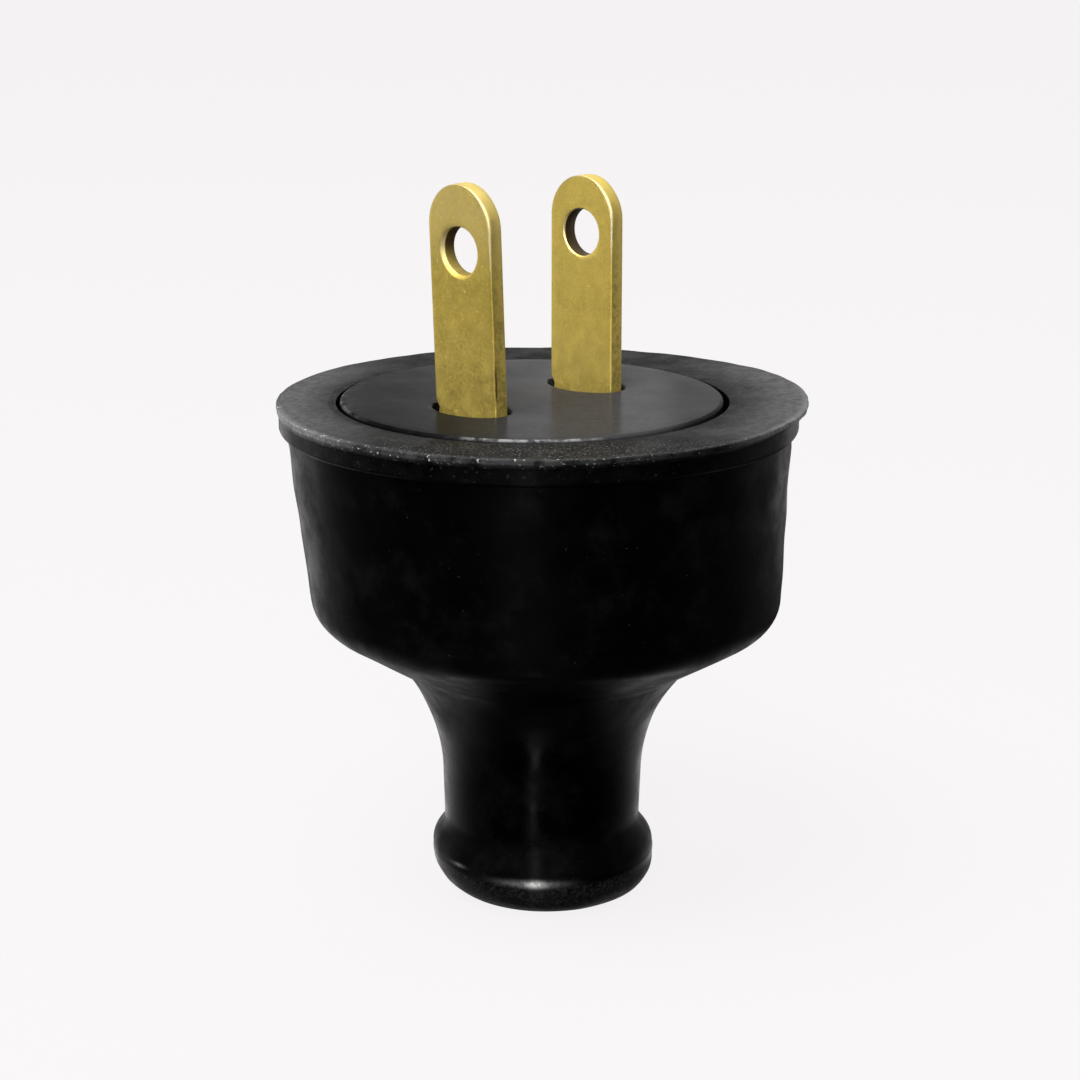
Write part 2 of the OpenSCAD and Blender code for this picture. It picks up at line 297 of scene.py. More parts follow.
def outer_outline():
    """From the inlet's bevel round the bead and up to the flange's face."""
    lip_out = LIP_R - FLANGE_R
    low = rounded([
        (CORD_R + CORD_BEVEL, 0, 0),
        (BEAD_R, 0, BEAD_ROUND),
        (BEAD_R, BEAD_H, BEAD_TOP_ROUND),
        (NECK_LOW_R, BEAD_H + BEAD_SLOPE, NECK_ROUND),
        (NECK_R, FLARE_Z, 0),
    ])
    flare = arc((NECK_R + FLARE_R, FLARE_Z), FLARE_R, 180, -FLARE_TURN, FLARE_STEP)
    flange_z = BODY_H - FLANGE_T
    high = rounded([
        flare[-1].to_tuple() + (0,),
        (GRIP_LOW_R, flare[-1].y + SHOULDER_RISE, GRIP_ROUND),
        (GRIP_TOP_R, flange_z, GRIP_TOP_ROUND),
        (FLANGE_R, flange_z, FLANGE_ROUND),
        (FLANGE_R, BODY_H - LIP_T - lip_out, LIP_FOOT_ROUND),
        (LIP_R, BODY_H - LIP_T, LIP_LOW_ROUND),
        (LIP_R, BODY_H, LIP_TOP_ROUND),
        (INSERT_R + GAP + FACE_EDGE, BODY_H, 0),
    ])
    return low[:-1] + flare[:-1] + high


def pocket_outline():
    """From the face into the pocket, the chamber and its floor, about the pocket's own middle."""
    seat_z = FACE_Z - INSERT_T
    ring_r = INSERT_R + RING_OUT + RING_GAP
    return rounded([
        (INSERT_R + GAP + POCKET_EDGE, BODY_H, 0),
        (INSERT_R + GAP, BODY_H, POCKET_ROUND),
        (INSERT_R + GAP, seat_z + RING_H + RING_OUT + RING_GAP, 0),
        (ring_r, seat_z + RING_H + RING_GAP, 0),
        (ring_r, seat_z, 0),
        (CHAMBER_R, seat_z, 0),
        (CHAMBER_R, FLOOR_Z + (CHAMBER_R - FLOOR_R) * SHOULDER_RISE / SHOULDER_RUN, 0),
        (FLOOR_R, FLOOR_Z, 0),
    ])


def uneven_outer(p, normal, out, on_face, lip):
    """Radius and height of a point of the outer skin, with the moulding's unevenness."""
    base = out * p.x + UP * p.y
    if on_face:
        swell = uneven(base, *FACE_SWELL)
    else:
        swell = uneven(base, *SWELL) + uneven(base, *RIPPLE)
    swell += RIDGE * bell(RIDGE_Z, RIDGE_WIDE, p.y)
    edge = out * LIP_CIRCLE
    r = p.x + normal.x * swell + lip * (uneven(edge, *LIP_WANDER) + uneven(edge, *LIP_NICKS))
    z = p.y + normal.y * swell + lip * uneven(edge, *LIP_WAVE)
    z += LIFT * smooth(*LIFT_ACROSS, r * out.dot(RIGHT)) * smooth(*LIFT_Z, p.y)
    return r, z


def painted_highlight_and_rubbing(z, on_face, lip, across, ahead):
    """How far the outer skin is painted pale: painted highlights and a painted streak on the bead, and the lip's
    rubbed ends with their painted highlight.
    """
    painted_spot = min(sum(share * bell(at, wide, across) for share, at, wide in RIDGE_HIGHLIGHT), RIDGE_HIGHLIGHT_MOST)
    painted_spot *= bell(RIDGE_Z, RIDGE_HIGHLIGHT_TALL, z)
    share, at, wide = LEFT_GLINT
    painted_spot += share * bell(at, wide, across) * bell(*LEFT_GLINT_Z, z)
    share, at, wide = BEAD_STREAK
    painted_spot += share * bell(at, wide, across) * smooth(*BEAD_STREAK_LOW_Z, z) * smooth(*BEAD_STREAK_TOP_Z, z)
    if ahead < 0:
        painted_spot = 0.0
    ends = 0.0
    for side, (share, side_turn, front_turn) in ((-1, LEFT_END), (1, RIGHT_END)):
        ends += share * smooth(*side_turn, side * across) * smooth(*front_turn, ahead)
    return painted_spot + (LIP_PALE_TOP if on_face else LIP_PALE_SIDE) * lip * ends


def skin_marks(p, r, kind, out, on_face, lip):
    """The marks at a point of the skin, by name."""
    across = out.dot(RIGHT)
    ahead = -out.dot(AWAY)
    marks = dict.fromkeys(SKIN_MARKS, 0.0)
    if on_face or (kind == "pocket" and p.y > BODY_H - POCKET_LEVEL):
        marks["top"] = 1.0
        marks["dusty"] = DUST * smooth(*DUST_ACROSS, abs(across)) * smooth(*DUST_R, r)
    if kind == "outer":
        turn = smooth(*WEAR_TURN, WEAR_SIDE * (ahead - across))
        marks["wear"] = lip * (WEAR_LEAST + (1 - WEAR_LEAST) * turn)
        # Grey painted under the ridge as a reflection of the floor
        marks["below"] = smooth(*BELOW_Z, p.y)
        on_bead = smooth(*BEAD_TOP_Z, p.y) * smooth(*BEAD_LOW_Z, p.y)
        shine = smooth(*POLISH_TOP_Z, p.y) * smooth(*POLISH_LOW_Z, p.y) * (1 - BEAD_DULL * on_bead)
        marks["polish"] = shine - BEAD_FRONT_DULL * on_bead * smooth(*BEAD_FRONT, ahead)
        # Painted highlights and streak on the bead, and the lip's rubbed ends
        marks["highlight_and_rubbing"] = painted_highlight_and_rubbing(p.y, on_face, lip, across, ahead)
    return marks


def rubber_skin():
    outline = outer_outline()
    bead = [p for p in outline if p.y < BEAD_H + BEAD_SLOPE + BEAD_MARGIN]
    outer = dense(bead, BEAD_STEP) + dense(outline[len(bead) - 1:], SKIN_STEP)[1:]
    pocket = dense(pocket_outline(), INSIDE_STEP)
    bore = dense([Vector((CORD_R, FLOOR_Z)), Vector((CORD_R, CORD_BEVEL))], INSIDE_STEP)
    line = [(p, "outer") for p in outer] + [(p, "pocket") for p in pocket] + [(p, "bore") for p in bore]
    n = len(line)
    verts, faces = [], []
    marks = {key: [] for key in SKIN_MARKS}
    for i, (p, kind) in enumerate(line):
        tangent = line[(i + 1) % n][0] - line[i - 1][0]
        normal = Vector((tangent.y, -tangent.x)).normalized()
        on_face = kind == "outer" and p.y > BODY_H - LEVEL
        lip = smooth(*LIP_BAND, p.x) if kind == "outer" else 0.0
        middle = POCKET if kind == "pocket" else Vector((0, 0, 0))
        if kind == "outer" and not on_face:
            middle = RIGHT * along(DRIFT, p.y)
        for k in range(SEGMENTS):
            a = 2 * math.pi * k / SEGMENTS
            out = Vector((math.cos(a), math.sin(a), 0))
            r, z = p.x, p.y
            if kind == "outer" and p.y >= LEVEL:
                r, z = uneven_outer(p, normal, out, on_face, lip)
            verts.append(middle + out * r + UP * z)
            for key, value in skin_marks(p, r, kind, out, on_face, lip).items():
                marks[key].append(value)
    for i in range(n):
        j = (i + 1) % n
        for k in range(SEGMENTS):
            m = (k + 1) % SEGMENTS
            faces.append((i * SEGMENTS + k, i * SEGMENTS + m, j * SEGMENTS + m, j * SEGMENTS + k))
    return add_mesh("rubber_skin", verts, faces, SKIN_SHARP, **marks)


# Insert: a turned disc with its barrier, less the slots, their oval mouths and the bushings' seats

INSERT_SEGMENTS = 192
SEAT_SEGMENTS = 48
MOUTH_SEGMENTS = 72
INSERT_SHARP = 30.0
INSERT_STEP = 1.2
INSERT_ARC_STEP = 9.0
# The disc sits a little to the image's left in its pocket
INSERT_ASIDE = -0.08
INSERT_ROUND = 0.28
RING_ROUND = 0.15
RING_TOP_ROUND = 0.1
MOUTH_ROUND = 0.16
MOUTH_ROUND_STEPS = 5
MOUTH_TAPER = 0.12
# How far a cutter, or the barrier's root, goes past the face that it meets
PAST = 1.0
MOUTH_PAST = 0.5
# The room for a blade's bend is this much narrower than its slot, on each side
ROOM_LESS = 0.01
# The rim's painted highlight, in front and less so at the left: where it begins and where it is full
RIM_FRONT = (0.9, 0.99)
RIM_LEFT = (0.8, 1.0)
RIM_LEFT_SHARE = 0.3
RIM_R = (INSERT_R - 0.25, INSERT_R - 0.1)
RIM_Z = (FACE_Z - 0.26, FACE_Z - 0.1)
LEAST_R = 0.1


def turned(points, centre, segments, name):
    """A closed outline's points, each with a radius and a height, turned round an upright axis."""
    verts, faces, rings = [], [], []
    for p in points:
        if p.x < SAME:
            rings.append([len(verts)] * segments)
            verts.append(centre + UP * p.y)
            continue
        rings.append(list(range(len(verts), len(verts) + segments)))
        for k in range(segments):
            a = 2 * math.pi * k / segments
            verts.append(centre + Vector((p.x * math.cos(a), p.x * math.sin(a), p.y)))
    for r0, r1 in zip(rings, rings[1:]):
        for k in range(segments):
            m = (k + 1) % segments
            ids = [r0[k], r0[m], r1[m], r1[k]]
            ids = [v for i, v in enumerate(ids) if v != ids[i - 1]]
            if len(ids) > 2:
                faces.append(ids)
    return add_mesh(name, verts, faces)


def lofted(sections, name):
    """A closed mesh through flat sections with the same number of points."""
    n = len(sections[0])
    verts = [p for section in sections for p in section]
    faces = [list(range(n)), list(range(len(verts) - n, len(verts)))]
    for s in range(len(sections) - 1):
        for k in range(n):
            m = (k + 1) % n
            faces.append([s * n + k, s * n + m, (s + 1) * n + m, (s + 1) * n + k])
    return add_mesh(name, verts, faces)


def block(name, at, middle, half_x, half_y, heights):
    """A box between two heights, with its middle at a place along x."""
    plan = ((-half_x, -half_y), (half_x, -half_y), (half_x, half_y), (-half_x, half_y))
    return lofted([[at + Vector((middle + x, y, z)) for x, y in plan] for z in heights], name)


def mouth_cutter(at, middle):
    """The oval mouth of a slot, with its upper edge rounded."""
    low = INSERT_T - MOUTH_ROUND
    levels = [(INSERT_T - MOUTH_DEPTH, -MOUTH_TAPER), (low, 0.0)]
    for k in range(1, MOUTH_ROUND_STEPS + 1):
        a = math.pi / 2 * k / MOUTH_ROUND_STEPS
        levels.append((low + MOUTH_ROUND * math.sin(a), MOUTH_ROUND * (1 - math.cos(a))))
    levels.append((INSERT_T + MOUTH_PAST, MOUTH_ROUND + MOUTH_PAST))
    oval = []
    for z, grow in levels:
        ring = []
        for k in range(MOUTH_SEGMENTS):
            a = 2 * math.pi * k / MOUTH_SEGMENTS
            x = middle + (MOUTH_W / 2 + grow) * math.cos(a)
            y = (MOUTH_L / 2 + grow) * math.sin(a)
            ring.append(at + Vector((x, y, z)))
        oval.append(ring)
    return lofted(oval, "mouth")


def combine(piece, others, operation):
    """Joins the others to the piece, or cuts them out of it, and takes them away."""
    for other in others:
        step = piece.modifiers.new(operation, "BOOLEAN")
        step.operation = operation
        step.solver = "EXACT"
        step.object = other
    bpy.context.view_layer.update()
    done = bpy.data.meshes.new_from_object(piece.evaluated_get(bpy.context.evaluated_depsgraph_get()))
    piece.modifiers.clear()
    piece.data = done
    for other in others:
        bpy.data.objects.remove(other)


def insert_cutters(at, side):
    """What is cut out of the disc for one blade: slot, mouth, room for the bend and the bushing's seat."""
    half_t = BLADE_T / 2 + SLOT_GAP
    half_w = BLADE_W / 2 + SLOT_END_GAP
    slot = block("slot", at, side * BLADE_X, half_t, half_w, (-PAST, INSERT_T + PAST))
    mouth = mouth_cutter(at, side * BLADE_X)
    turn_x = BEND_X - BLADE_X
    bend = ((0, -PAST), (turn_x + PAST, -PAST), (turn_x, 0), (BLADE_T / 2, BEND_R), (0, BEND_R))
    ends = (-half_w + ROOM_LESS, half_w - ROOM_LESS)
    room = lofted([[at + Vector((side * (BLADE_X + x), y, z)) for x, z in bend] for y in ends], "bend_room")
    middle = BUSHING_L / 2
    outline = [Vector(p) for p in (
        (0, -PAST),
        (BUSHING_R, -PAST),
        (BUSHING_R, middle - BUSHING_GROOVE),
        (BUSHING_R - BUSHING_GROOVE, middle),
        (BUSHING_R, middle + BUSHING_GROOVE),
        (BUSHING_R, BUSHING_L),
        (0, BUSHING_L),
    )]
    seat_at = at + Vector((side * (FOOT_X - FOOT_END), 0, 0))
    return [slot, mouth, room, turned(outline, seat_at, SEAT_SEGMENTS, "bushing_seat")]


def insert_piece():
    seat_z = FACE_Z - INSERT_T
    outline = rounded([
        (0, 0, 0),
        (INSERT_R + RING_OUT, 0, RING_ROUND),
        (INSERT_R + RING_OUT, RING_H, RING_ROUND),
        (INSERT_R, RING_H + RING_OUT, RING_TOP_ROUND),
        (INSERT_R, INSERT_T, INSERT_ROUND),
        (0, INSERT_T, 0),
    ], INSERT_ARC_STEP)
    centre = POCKET + RIGHT * INSERT_ASIDE + UP * seat_z
    disc = turned(dense(outline, INSERT_STEP), centre, INSERT_SEGMENTS, "insert_moulding")
    at = PAIR + UP * seat_z
    thick, wide, tall = BARRIER
    combine(disc, [block("barrier", at, 0, thick / 2, wide / 2, (-tall, PAST))], "UNION")
    combine(disc, insert_cutters(at, -1) + insert_cutters(at, 1), "DIFFERENCE")
    mesh = disc.data
    smooth_shaded(mesh, INSERT_SHARP)
    # The rim is painted pale as a highlight, in front and less so at the left
    rim = []
    for v in mesh.vertices:
        p = v.co / MM - POCKET
        r = math.hypot(p.x, p.y)
        front = smooth(*RIM_FRONT, -(p.x * AWAY.x + p.y * AWAY.y) / max(r, LEAST_R))
        left = smooth(*RIM_LEFT, -(p.x * RIGHT.x + p.y * RIGHT.y) / max(r, LEAST_R))
        rim.append(smooth(*RIM_R, r) * smooth(*RIM_Z, p.z) * max(front, RIM_LEFT_SHARE * left))
    mesh.attributes.new("rim", "FLOAT", "POINT").data.foreach_set("value", rim)
    return disc


# Blades: a flat strip with its holes, rounded along every edge, then bent into place. In the strip, x is to the
# image's left and y is the height above the insert's face, which goes on round the bend

HALF_W = BLADE_W / 2
LEG_LOW = -(INSERT_T - BEND_R)
BEND_MID = BEND_R + BLADE_T / 2
BEND_LOW = LEG_LOW - BEND_MID * math.pi / 2
BEND_X = BLADE_X + BLADE_T / 2 + BEND_R
FOOT_LOW = BEND_LOW - (FOOT_X - BEND_X)
SCREW_S = FOOT_LOW + FOOT_END
BLADE_SHARP = 50.0
# Quads across the strip, round the tip, along the tip's straight sides, and round each hole
ACROSS = 12
TIP_STEPS = 72
SIDE_STEPS = 14
HOLE_RINGS = 6
SCREW_RINGS = 4
FOOT_STEP = 0.5
# How far the patch round the hole reaches down, and the patch round the screw up
HOLE_PATCH = 3.4
SCREW_PATCH = 2.5
# The rows of quads are closest between these two heights, at the insert's face
BASE_HIGH = 1.0
BASE_LOW = -0.2
# The lean sets in over this height, in so many steps
LEAN_TOP = 1.2
LEAN_STEPS = 60
# Roundings of the edges: everywhere, more at the left, and most at the right and the tip, which were struck
EDGE_ROUND = 0.07
LEFT_ROUND = 0.04
LEFT_X = (-0.5, 1.5)
STRUCK_ROUND = 0.13
STRUCK_X = (0.9, 3.0)
STRUCK_BASE_Y = (-0.6, 0.6)
STRUCK_TIP = (6.0, 2.6)
STRUCK_TURN = 0.9
FAR_TURN = 0.08
# The left edge is rounded off at the insert: radius, and the height where that begins
BASE_ROUND = 1.2
BASE_ROUND_Y = 0.75
BASE_ROUND_MOST = 0.85
BASE_ROUND_END = (-1.6, -0.3)
# A hole's chamfer is widest at the lower left, as the punch went in askew
PUNCH = Vector((0.75, -0.66))
PUNCH_TURN = (-0.5, 0.85)
RIM_LEAST = 0.09
FRONT_RIM = 0.34
REAR_RIM = 0.15
SCREW_RIM = 0.08
# An edge point this near to a hole's wall belongs to the hole
HOLE_NEAR = 0.5
SCREW_NEAR = 0.4
# Steps over an edge, and a hole's rim by step, as shares outwards and down: flat, with its ends turned over
EDGE_STEPS = 4
CHAMFER = {1: (0.1, 0.03), 2: (0.24, 0.14), 3: (0.86, 0.76), 4: (1.0, 1.0)}
# Unevenness of the faces: height and size of the lumps
DENT = 0.012
DENT_SIZE = 2.4
DENT_APART = 5

# Marks of a blade for its material; a pair says where a mark begins and where it is full
BLADE_MARKS = ("edge", "bore", "seam", "height", "clean", "deep", "border")
# Where the struck edges' painted highlight begins and is full, below the tip
EDGE_HIGHLIGHT_TIP = (7.5, 4.5)
# A dark line along the lower part of the front blade's right corner
CORNER_LINE_LOW_Y = (0.9, 1.6)
CORNER_LINE_TOP_Y = (3.4, 4.4)
CORNER_LINE_X = -2
# In the front blade's hole the painted shade is lighter towards its lower side
BORE_LIGHT = 0.45
BORE_LIGHT_Y = (0.6, -1.0)
# Painted shade along the left edges: how far an edge must face left
EDGE_SHADE_TURN = (-0.1, 0.5)


def edge_round(x, y, length):
    """Width of the rounding along the strip's edges."""
    tip = smooth(length - STRUCK_TIP[0], length - STRUCK_TIP[1], y)
    struck = STRUCK_ROUND * smooth(*STRUCK_BASE_Y, y) + STRUCK_ROUND * tip
    return EDGE_ROUND + LEFT_ROUND * smooth(*LEFT_X, x) + smooth(*STRUCK_X, -x) * struck


def base_round(y):
    """How far the left edge is rounded off where the blade enters the insert."""
    down = min(max(BASE_ROUND_Y - y, 0.0), BASE_ROUND_MOST)
    return (BASE_ROUND - math.sqrt(BASE_ROUND ** 2 - down ** 2)) * smooth(*BASE_ROUND_END, y)


def rim_width(d, most):
    """Width of a hole's chamfer in a direction from its middle."""
    return RIM_LEAST + (most - RIM_LEAST) * smooth(*PUNCH_TURN, PUNCH.dot(d) / d.length)


def ring_patch(outline, centre, r, rings, most=0.0):
    """Quads between a hole and a closed outline round it."""
    def at(p, k):
        d = p - centre
        wide = rim_width(d, most) if most else 0.0
        hole = centre + d.normalized() * (r + wide)
        return hole.lerp(p, k / rings)

    faces = []
    for i, p in enumerate(outline):
        q = outline[(i + 1) % len(outline)]
        for k in range(rings):
            faces.append([at(p, k), at(p, k + 1), at(q, k + 1), at(q, k)])
    return faces


def row_heights(stops, end):
    """Heights from each (height, steps) stop down to the next, and from the last one to the end."""
    out = []
    for (y0, steps), y1 in zip(stops, [y for y, _ in stops[1:]] + [end]):
        out += [y0 - (y0 - y1) * k / steps for k in range(steps)]
    return out + [end]


def strip_faces(length, hole_rim):
    """The flat of a blade, laid out straight."""
    tip_y = length - HALF_W
    split_y = HOLE_H - HOLE_PATCH
    low_y = SCREW_S + SCREW_PATCH

    def left_x(y):
        return HALF_W - edge_round(HALF_W, y, length)

    def right_x(y):
        return -HALF_W + edge_round(-HALF_W, y, length)

    def row(y):
        low, high = right_x(y), left_x(y) - base_round(y)
        return [Vector((low + (high - low) * k / ACROSS, y)) for k in range(ACROSS + 1)]

    sides = [split_y + (tip_y - split_y) * k / SIDE_STEPS for k in range(1, SIDE_STEPS)]
    up = [Vector((left_x(y), y)) for y in sides]
    down = [Vector((right_x(y), y)) for y in reversed(sides)]
    tip = []
    for k in range(TIP_STEPS + 1):
        a = math.pi * k / TIP_STEPS
        out = Vector((math.cos(a), math.sin(a)))
        wide = edge_round(out.x * HALF_W, tip_y + out.y * HALF_W, length)
        tip.append(Vector((0, tip_y)) + out * (HALF_W - wide))
    faces = ring_patch(row(split_y) + up + tip + down, Vector((0, HOLE_H)), HOLE_R, HOLE_RINGS, hole_rim)
    ys = row_heights(((split_y, 14), (BASE_HIGH, 8), (BASE_LOW, 8), (LEG_LOW, 10), (BEND_LOW, 3)), low_y)
    for y0, y1 in zip(ys, ys[1:]):
        a, c = row(y0), row(y1)
        faces += [[c[k], c[k + 1], a[k + 1], a[k]] for k in range(ACROSS)]
    left, right = left_x(FOOT_LOW), right_x(FOOT_LOW)
    end = FOOT_LOW + edge_round(0, FOOT_LOW, length)
    corners = [
        Vector((left, end + FOOT_BEVEL)),
        Vector((left - FOOT_BEVEL, end)),
        Vector((right + FOOT_BEVEL, end)),
        Vector((right, end + FOOT_BEVEL)),
    ]
    foot = dense([row(low_y)[-1]] + corners + [row(low_y)[0]], FOOT_STEP)
    outline = list(reversed(row(low_y))) + list(reversed(foot))[1:-1]
    return faces + ring_patch(outline, Vector((0, SCREW_S)), SCREW_R + SCREW_RIM, SCREW_RINGS)


def weld(patches):
    """The patches' points without doubles, the faces between them, and the loops of open edges."""
    index, points, faces = {}, [], []
    for patch in patches:
        ids = []
        for p in patch:
            key = (round(p.x, DECIMALS), round(p.y, DECIMALS))
            if key not in index:
                index[key] = len(points)
                points.append(p)
            ids.append(index[key])
        faces.append([v for i, v in enumerate(ids) if v != ids[i - 1]])
    edges = {}
    for face in faces:
        p = [points[v] for v in face]
        area = sum(p[i - 1].x * p[i].y - p[i].x * p[i - 1].y for i in range(len(p)))
        if area < 0:
            face.reverse()
        edges.update(((face[i - 1], v), True) for i, v in enumerate(face))
    # The open edges, each with the flat on its left
    follow = {a: c for (a, c) in edges if (c, a) not in edges}
    loops = []
    while follow:
        start = next(iter(follow))
        loop = [start]
        while follow[loop[-1]] != start:
            loop.append(follow.pop(loop[-1]))
        follow.pop(loop[-1])
        loops.append(loop)
    return points, faces, loops


def bent(p, depth, lean, side):
    """A point of the strip at a depth towards the plug's middle, bent into its place."""
    s = p.y
    if s < BEND_LOW:
        x, z = BEND_X + (BEND_LOW - s), -BLADE_T / 2 - depth
    elif s < LEG_LOW:
        a = math.pi + (LEG_LOW - s) / BEND_MID
        x = BEND_X + (BEND_MID + depth) * math.cos(a)
        z = BEND_R + (BEND_MID + depth) * math.sin(a)
    else:
        x, z = BLADE_X, INSERT_T + min(s, 0)
        if s > 0:
            ds = min(s, LEAN_TOP) / LEAN_STEPS
            for k in range(LEAN_STEPS):
                a = lean * smooth(0, LEAN_TOP, (k + 0.5) * ds)
                x += ds * math.sin(a)
                z += ds * math.cos(a)
            rest = max(0, s - LEAN_TOP)
            x += rest * math.sin(lean)
            z += rest * math.cos(lean)
        a = lean * smooth(0, LEAN_TOP, s)
        x -= depth * math.cos(a)
        z += depth * math.sin(a)
    return Vector((side * x, p.x, FACE_Z - INSERT_T + z)) + PAIR


def blade_mesh(name, length, lean, side, hole_rim):
    points, quads, loops = weld(strip_faces(length, hole_rim))
    n = len(points)
    verts = []
    marks = {key: [] for key in BLADE_MARKS}
    half = BLADE_T / 2
    # The face on the photograph's side is the struck one, with the softer edges
    struck = side

    def add(p, depth, **given):
        """One more point, with its marks: those not given are zero."""
        verts.append(bent(p, depth, lean, side))
        for key in BLADE_MARKS:
            marks[key].append(given.get(key, 0.0))

    def add_edge_point(p, normal, sign, k):
        """A point of the rounded edge beside a point of the flat, k steps over the edge of one face."""
        a = math.pi / 2 * k / EDGE_STEPS
        out, down = math.sin(a), 1 - math.cos(a)
        from_hole = p - Vector((0, HOLE_H))
        in_hole = from_hole.length < HOLE_R + HOLE_NEAR
        in_screw = (p - Vector((0, SCREW_S))).length < SCREW_R + SCREW_NEAR
        wide = SCREW_RIM if in_screw else edge_round(p.x, p.y, length)
        if in_hole:
            wide = rim_width(from_hole, hole_rim)
            normal = -from_hole.normalized()
            out, down = CHAMFER[k]
        turn = wide * STRUCK_TURN if sign == struck else FAR_TURN
        given = {"height": p.y, "clean": clean}
        given["deep"] = turn * down if sign == struck else BLADE_T - turn * down
        # The struck edges near the tip and the hole's chamfer are painted pale as a highlight
        if sign == struck and k < EDGE_STEPS:
            given["edge"] = smooth(length - EDGE_HIGHLIGHT_TIP[0], length - EDGE_HIGHLIGHT_TIP[1], p.y)
        # A hole's wall is painted dark as shade, less so low in the front blade's hole
        if in_hole and k == EDGE_STEPS:
            light = BORE_LIGHT * smooth(*BORE_LIGHT_Y, from_hole.y) if side < 0 else 0.0
            given["bore"] = 1.0 - light
        # A dark line along the lower part of the front blade's right corner
        if p.x < CORNER_LINE_X and side < 0:
            given["seam"] = smooth(*CORNER_LINE_LOW_Y, p.y) * (1 - smooth(*CORNER_LINE_TOP_Y, p.y))
        # A dark line is painted as shade along the struck face's left edges
        if sign == struck and not in_hole and not in_screw:
            given["border"] = smooth(*EDGE_SHADE_TURN, normal.x)
        add(p + normal * wide * out, sign * (half - DENT - turn * down), **given)

    clean = 1.0 if side > 0 else 0.0
    for sign in (1, -1):
        for p in points:
            dent = uneven((p.x, p.y, DENT_APART * sign), DENT, DENT_SIZE, length)
            deep = 0.0 if sign == struck else BLADE_T
            add(p, sign * (half + dent - DENT), height=p.y, clean=clean, deep=deep)
    faces = [list(q) for q in quads] + [[v + n for v in reversed(q)] for q in quads]
    over = range(1, EDGE_STEPS + 1)
    for loop in loops:
        m = len(loop)
        rings = [loop]
        for sign, k in [(1, k) for k in over] + [(-1, k) for k in reversed(over)]:
            rings.append(list(range(len(verts), len(verts) + m)))
            for i, v in enumerate(loop):
                t = (points[loop[(i + 1) % m]] - points[loop[i - 1]]).normalized()
                add_edge_point(points[v], Vector((t.y, -t.x)), sign, k)
        rings.append([v + n for v in loop])
        for r0, r1 in zip(rings, rings[1:]):
            for i in range(m):
                j = (i + 1) % m
                faces.append([r0[j], r0[i], r1[i], r1[j]])
    return add_mesh(name, verts, faces, BLADE_SHARP, **marks)


# Materials

class Nodes:
    """A node tree, written one call a node."""

    def __init__(self, tree, coordinates=None):
        self.tree = tree
        if coordinates:
            self.where = tree.nodes.new("ShaderNodeTexCoord").outputs[coordinates]

    def put(self, socket, value):
        if isinstance(value, bpy.types.NodeSocket):
            self.tree.links.new(value, socket)
        else:
            socket.default_value = value

    def node(self, kind, *first, **inputs):
        """A node with its first inputs by order, and others by name."""
        made = self.tree.nodes.new(kind)
        for socket, value in zip(made.inputs, first):
            self.put(socket, value)
        for key, value in inputs.items():
            self.put(made.inputs[key.replace("_", " ")], value)
        return made

    def math(self, operation, *values):
        made = self.node("ShaderNodeMath", *values)
        made.operation = operation
        return made.outputs[0]

    def times(self, value, *others):
        for other in others:
            value = self.math("MULTIPLY", value, other)
        return value

    def plus(self, a, b):
        return self.math("ADD", a, b)

    def less(self, a, b):
        return self.math("SUBTRACT", a, b)

    def spread(self, value, levels, to=(0.0, 1.0)):
        """An even rise from one value to another between two levels."""
        ends = {"From_Min": levels[0], "From_Max": levels[1], "To_Min": to[0], "To_Max": to[1]}
        made = self.node("ShaderNodeMapRange", Value=value, **ends)
        made.interpolation_type = "SMOOTHSTEP"
        return made.outputs["Result"]

    def place(self, direction):
        """How far along a direction the coordinates lie."""
        made = self.node("ShaderNodeVectorMath", self.where, tuple(direction))
        made.operation = "DOT_PRODUCT"
        return made.outputs["Value"]


class Paint(Nodes):
    """A material's nodes."""

    def __init__(self, name):
        self.material = bpy.data.materials.new(name)
        self.material.use_nodes = True
        super().__init__(self.material.node_tree, "Object")
        self.shader = self.tree.nodes["Principled BSDF"]

    def set(self, **sockets):
        for key, value in sockets.items():
            self.put(self.shader.inputs[key.replace("_", " ")], value)

    def stretched(self, x, y, z):
        return self.node("ShaderNodeMapping", Vector=self.where, Scale=(x, y, z)).outputs["Vector"]

    def noise(self, size, detail=2.0, roughness=0.5, where=None):
        """Noise with lumps of the given size in millimetres."""
        made = self.node(
            "ShaderNodeTexNoise",
            Vector=where or self.where,
            Scale=1 / (size * MM),
            Detail=detail,
            Roughness=roughness,
        )
        return made.outputs["Fac"]

    def patchy(self, size, levels, to=(0.0, 1.0), detail=2.0, roughness=0.5):
        """Noise with lumps of the given size, spread from two of its levels to two values."""
        return self.spread(self.noise(size, detail, roughness), levels, to)

    def mix(self, share, a, b):
        made = self.tree.nodes.new("ShaderNodeMix")
        made.data_type = "RGBA"
        self.put(made.inputs["Factor"], share)
        for socket, value in (("A", a), ("B", b)):
            colour = [s for s in made.inputs if s.name == socket and s.type == "RGBA"][0]
            self.put(colour, value if isinstance(value, bpy.types.NodeSocket) else (*value, 1.0))
        return [s for s in made.outputs if s.type == "RGBA"][0]

    def value(self, name):
        made = self.tree.nodes.new("ShaderNodeAttribute")
        made.attribute_name = name
        return made.outputs["Fac"]

    def bump(self, height, depth, strength, under=None):
        """Bump of a height from 0 to 1, with a depth in millimetres."""
        made = self.node("ShaderNodeBump", Height=height, Strength=strength, Distance=depth * MM)
        if under is not None:
            self.put(made.inputs["Normal"], under)
        return made.outputs["Normal"]


